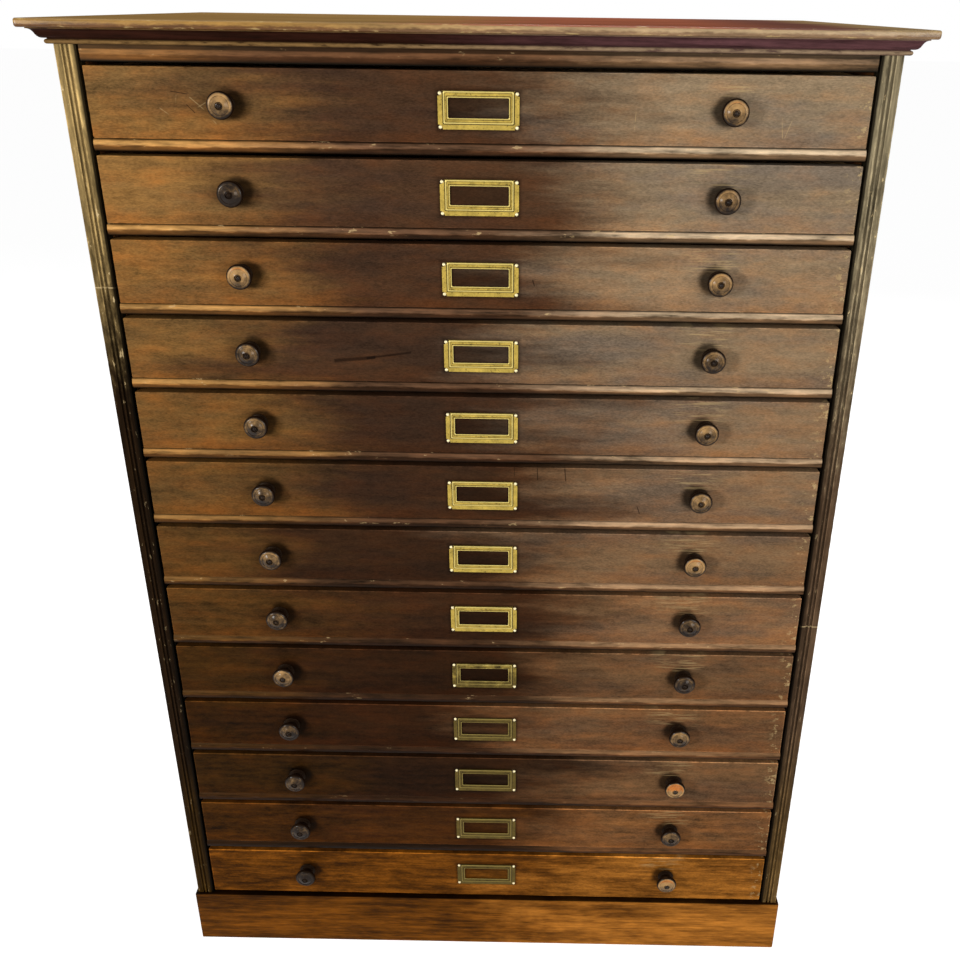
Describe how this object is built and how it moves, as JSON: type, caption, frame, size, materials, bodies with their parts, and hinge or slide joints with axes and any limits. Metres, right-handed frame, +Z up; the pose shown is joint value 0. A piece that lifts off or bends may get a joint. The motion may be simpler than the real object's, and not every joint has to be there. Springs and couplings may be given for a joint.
{
  "type": "flat filing cabinet",
  "caption": "Floor standing wooden filing cabinet with a stack of shallow full width drawers, turned knobs, brass label holders, moulded stiles, cornice and plinth.",
  "frame": {"origin": "on the floor, under the middle of the top board", "axes": "+X to the right as seen from the front, +Y from the drawer fronts to the back, +Z up"},
  "size_m": [0.968, 0.637, 1.3587],
  "materials": {
    "case_wood": "old polished mahogany, worn",
    "top_wood": "polished mahogany, glossy",
    "stile_wood": "worn and chipped polish",
    "front_wood": "old polished mahogany, scratched",
    "plinth_wood": "waxed mahogany",
    "knob_wood": "dark polish, glossy",
    "lining_wood": "bare planed wood",
    "label_brass": "aged polished brass"
  },
  "bodies": {
    "cabinet": {"plinth": "plinth_wood", "case_panels": "case_wood", "moulded_stiles": "stile_wood", "drawer_rails": "case_wood", "runners_and_stops": "lining_wood", "back_boards": "lining_wood", "top_board": "top_wood", "cornice_moulding": "case_wood"},
    "drawer_01": {"drawer_01_front": "front_wood", "drawer_01_tray": "lining_wood", "drawer_01_knobs": "knob_wood", "drawer_01_label_holder": "label_brass"},
    "drawer_02": {"drawer_02_front": "front_wood", "drawer_02_tray": "lining_wood", "drawer_02_knobs": "knob_wood", "drawer_02_label_holder": "label_brass"},
    "drawer_03": {"drawer_03_front": "front_wood", "drawer_03_tray": "lining_wood", "drawer_03_knobs": "knob_wood", "drawer_03_label_holder": "label_brass"},
    "drawer_04": {"drawer_04_front": "front_wood", "drawer_04_tray": "lining_wood", "drawer_04_knobs": "knob_wood", "drawer_04_label_holder": "label_brass"},
    "drawer_05": {"drawer_05_front": "front_wood", "drawer_05_tray": "lining_wood", "drawer_05_knobs": "knob_wood", "drawer_05_label_holder": "label_brass"},
    "drawer_06": {"drawer_06_front": "front_wood", "drawer_06_tray": "lining_wood", "drawer_06_knobs": "knob_wood", "drawer_06_label_holder": "label_brass"},
    "drawer_07": {"drawer_07_front": "front_wood", "drawer_07_tray": "lining_wood", "drawer_07_knobs": "knob_wood", "drawer_07_label_holder": "label_brass"},
    "drawer_08": {"drawer_08_front": "front_wood", "drawer_08_tray": "lining_wood", "drawer_08_knobs": "knob_wood", "drawer_08_label_holder": "label_brass"},
    "drawer_09": {"drawer_09_front": "front_wood", "drawer_09_tray": "lining_wood", "drawer_09_knobs": "knob_wood", "drawer_09_label_holder": "label_brass"},
    "drawer_10": {"drawer_10_front": "front_wood", "drawer_10_tray": "lining_wood", "drawer_10_knobs": "knob_wood", "drawer_10_label_holder": "label_brass"},
    "drawer_11": {"drawer_11_front": "front_wood", "drawer_11_tray": "lining_wood", "drawer_11_knobs": "knob_wood", "drawer_11_label_holder": "label_brass"},
    "drawer_12": {"drawer_12_front": "front_wood", "drawer_12_tray": "lining_wood", "drawer_12_knobs": "knob_wood", "drawer_12_label_holder": "label_brass"},
    "drawer_13": {"drawer_13_front": "front_wood", "drawer_13_tray": "lining_wood", "drawer_13_knobs": "knob_wood", "drawer_13_label_holder": "label_brass"}
  },
  "joints": [
    {"name": "drawer_01_slide", "type": "slide", "parent": "cabinet", "child": "drawer_01", "axis": [0, -1, 0], "range_m": [0, 0.4]},
    {"name": "drawer_02_slide", "type": "slide", "parent": "cabinet", "child": "drawer_02", "axis": [0, -1, 0], "range_m": [0, 0.4]},
    {"name": "drawer_03_slide", "type": "slide", "parent": "cabinet", "child": "drawer_03", "axis": [0, -1, 0], "range_m": [0, 0.4]},
    {"name": "drawer_04_slide", "type": "slide", "parent": "cabinet", "child": "drawer_04", "axis": [0, -1, 0], "range_m": [0, 0.4]},
    {"name": "drawer_05_slide", "type": "slide", "parent": "cabinet", "child": "drawer_05", "axis": [0, -1, 0], "range_m": [0, 0.4]},
    {"name": "drawer_06_slide", "type": "slide", "parent": "cabinet", "child": "drawer_06", "axis": [0, -1, 0], "range_m": [0, 0.4]},
    {"name": "drawer_07_slide", "type": "slide", "parent": "cabinet", "child": "drawer_07", "axis": [0, -1, 0], "range_m": [0, 0.4]},
    {"name": "drawer_08_slide", "type": "slide", "parent": "cabinet", "child": "drawer_08", "axis": [0, -1, 0], "range_m": [0, 0.4]},
    {"name": "drawer_09_slide", "type": "slide", "parent": "cabinet", "child": "drawer_09", "axis": [0, -1, 0], "range_m": [0, 0.4]},
    {"name": "drawer_10_slide", "type": "slide", "parent": "cabinet", "child": "drawer_10", "axis": [0, -1, 0], "range_m": [0, 0.4]},
    {"name": "drawer_11_slide", "type": "slide", "parent": "cabinet", "child": "drawer_11", "axis": [0, -1, 0], "range_m": [0, 0.4]},
    {"name": "drawer_12_slide", "type": "slide", "parent": "cabinet", "child": "drawer_12", "axis": [0, -1, 0], "range_m": [0, 0.4]},
    {"name": "drawer_13_slide", "type": "slide", "parent": "cabinet", "child": "drawer_13", "axis": [0, -1, 0], "range_m": [0, 0.4]}
  ]
}
